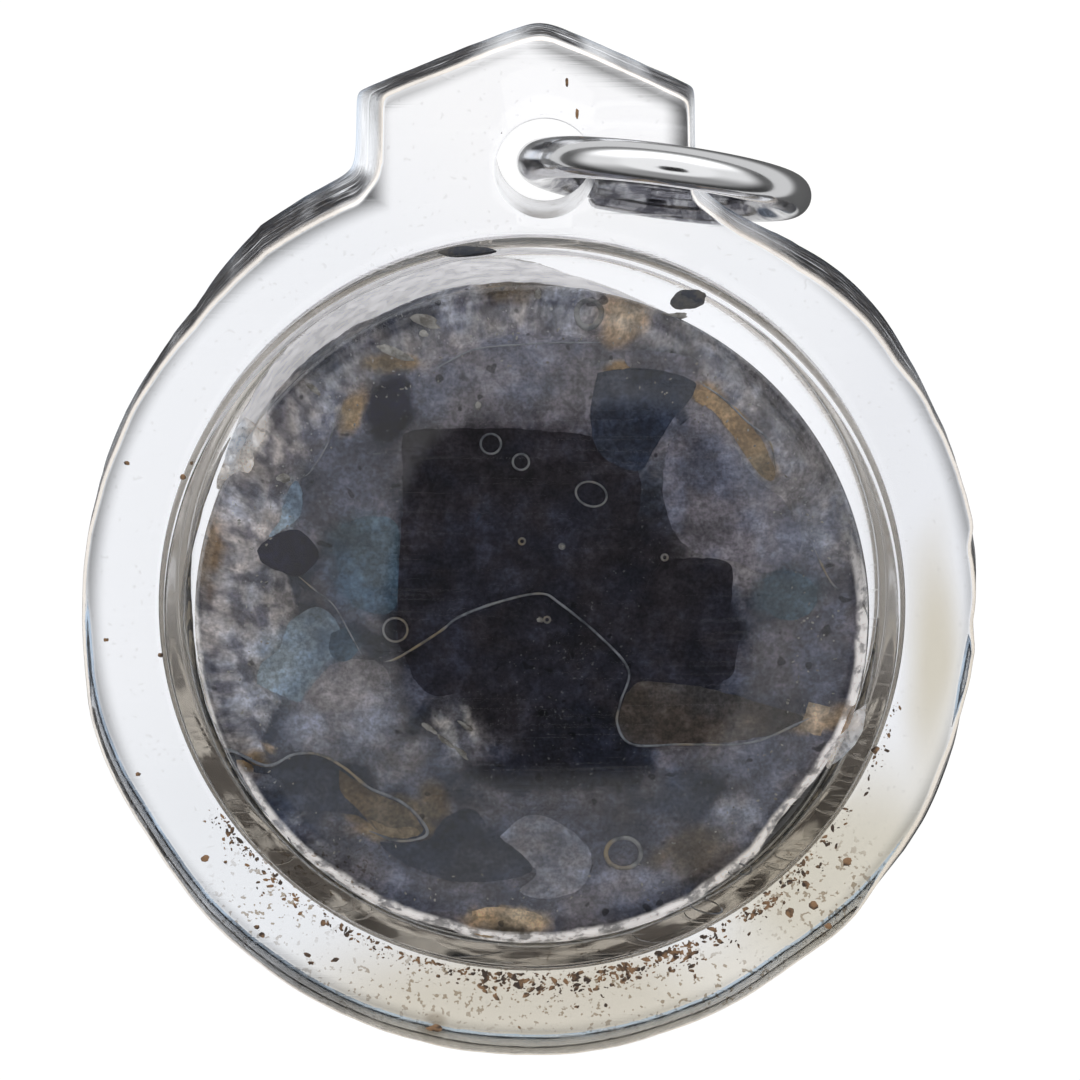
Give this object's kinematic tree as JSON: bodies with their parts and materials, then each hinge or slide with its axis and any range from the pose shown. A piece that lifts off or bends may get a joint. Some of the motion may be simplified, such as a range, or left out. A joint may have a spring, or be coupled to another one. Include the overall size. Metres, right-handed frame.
{
  "type": "wax amulet in a clear case with a jump ring",
  "caption": "Dark wax amulet sealed in a round clear case with a filed edge, a peaked hanging tab and a steel jump ring to hang it from a cord or chain.",
  "frame": {"origin": "where the pocket's axis meets the surface that the back tray rests on", "axes": "+Z out of the amulet's face, +Y towards the hanging tab, +X to the right of the face"},
  "size_m": [0.0364, 0.042, 0.0116],
  "materials": {
    "case_plastic_back": "clear pressed acrylic, polished faces, filed and scratched edges",
    "case_plastic_front": "clear pressed acrylic, polished blister, brown specks and pits on the flange",
    "dark_wax": "grey-black wax, smooth where it touches the case, mottled with ochre, tan and blue-grey patches",
    "brown_oil": "thick brown oil that has seeped from the wax",
    "bright_steel": "polished steel wire"
  },
  "bodies": {
    "root": {"case_back": "case_plastic_back", "case_front": "case_plastic_front", "wax_disc": "dark_wax", "seep_oil": "brown_oil", "jump_ring": "bright_steel"}
  },
  "joints": []
}
